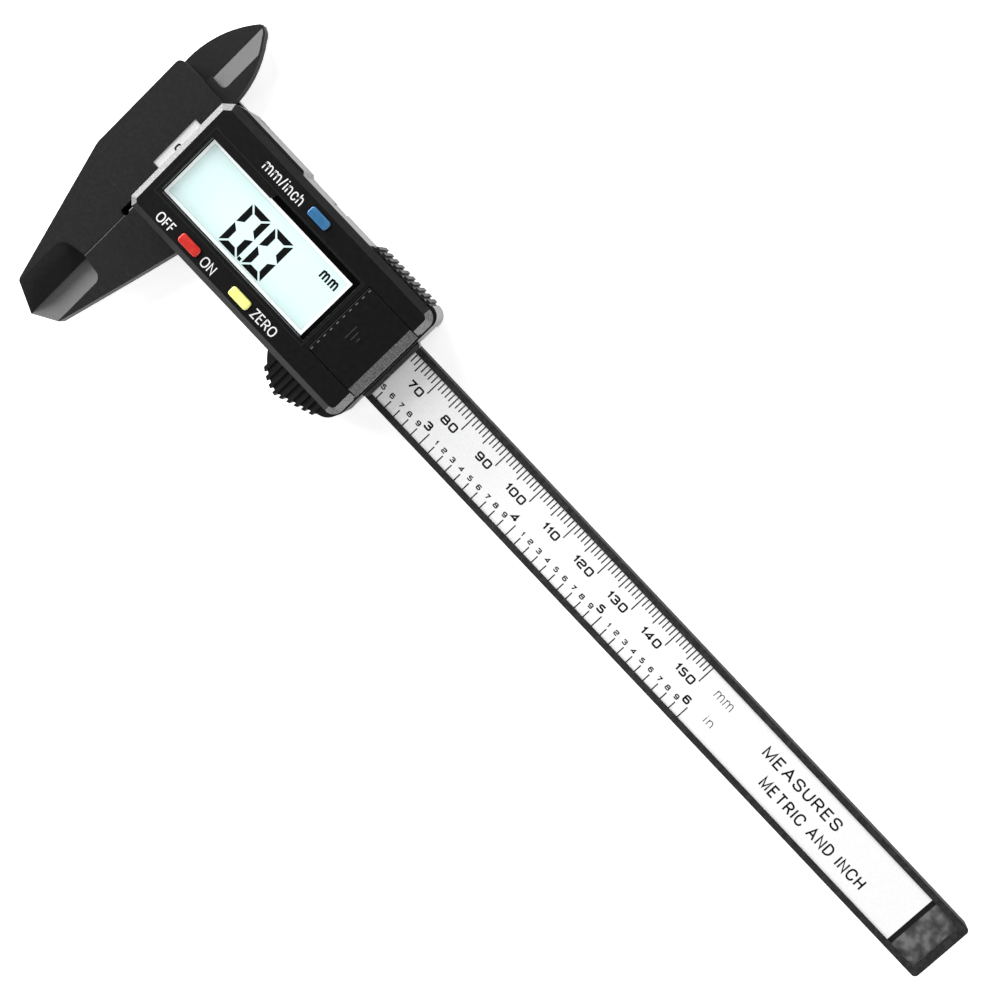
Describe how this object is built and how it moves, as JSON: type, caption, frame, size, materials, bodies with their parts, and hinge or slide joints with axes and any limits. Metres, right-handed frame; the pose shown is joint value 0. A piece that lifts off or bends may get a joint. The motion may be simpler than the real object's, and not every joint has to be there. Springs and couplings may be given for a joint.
{
  "type": "digital caliper",
  "caption": "Digital caliper: composite beam with a silver scale, sliding display housing with coloured buttons, inside and outside jaws, depth rod and sliding battery door.",
  "frame": {"origin": "where the closed jaws' contact plane and the beam's centre line meet the plane of the slider's back", "axes": "+X runs along the beam away from the fixed jaw, the way the slider opens; +Y points to the small inside jaws; +Z comes out of the display"},
  "size_m": [0.2372, 0.0756, 0.015],
  "materials": {
    "composite": "fine matte grain",
    "cover_plastic": "satin",
    "label_film": "brushed",
    "board_green": "satin",
    "red_plastic": "gloss",
    "yellow_plastic": "gloss",
    "blue_plastic": "gloss",
    "clear_window": "clear",
    "lcd_glass": "clear",
    "white_film": "matte",
    "white_plastic": "matte",
    "elastomer": "matte",
    "black_resin": "gloss",
    "steel": "brushed",
    "cell_steel": "polished",
    "bronze": "satin"
  },
  "bodies": {
    "beam": {"beam": "composite", "stator_strip": "board_green", "scale_label": "label_film", "end_stop": "composite", "end_stop_screws": "steel"},
    "slider": {"slider_body": "composite", "front_cover": "cover_plastic", "display_window": "clear_window", "lcd_panel": "lcd_glass", "lcd_reflector": "white_film", "lcd_holder": "white_plastic", "contact_strips": "elastomer", "circuit_board": "board_green", "controller_chip": "black_resin", "quartz_crystal": "steel", "board_components": "white_plastic", "board_screws": "steel", "switch_domes": "steel", "battery": "cell_steel", "negative_contact": "bronze", "positive_contact": "bronze", "gib_spring": "bronze", "depth_rod": "composite", "case_screws": "steel"},
    "power_button": {"power_button": "red_plastic"},
    "zero_button": {"zero_button": "yellow_plastic"},
    "unit_button": {"unit_button": "blue_plastic"},
    "battery_door": {"battery_door": "cover_plastic"}
  },
  "joints": [
    {"name": "slider_slide", "type": "slide", "parent": "beam", "child": "slider", "axis": [1, 0, 0], "range_m": [0, 0.15]},
    {"name": "power_button_press", "type": "slide", "parent": "slider", "child": "power_button", "axis": [0, 0, -1], "range_m": [0, 0.0005], "stiffness_N_per_m": 1500},
    {"name": "zero_button_press", "type": "slide", "parent": "slider", "child": "zero_button", "axis": [0, 0, -1], "range_m": [0, 0.0005], "stiffness_N_per_m": 1500},
    {"name": "unit_button_press", "type": "slide", "parent": "slider", "child": "unit_button", "axis": [0, 0, -1], "range_m": [0, 0.0005], "stiffness_N_per_m": 1500},
    {"name": "battery_door_slide", "type": "slide", "parent": "slider", "child": "battery_door", "axis": [1, 0, 0], "range_m": [0, 0.0145]}
  ]
}
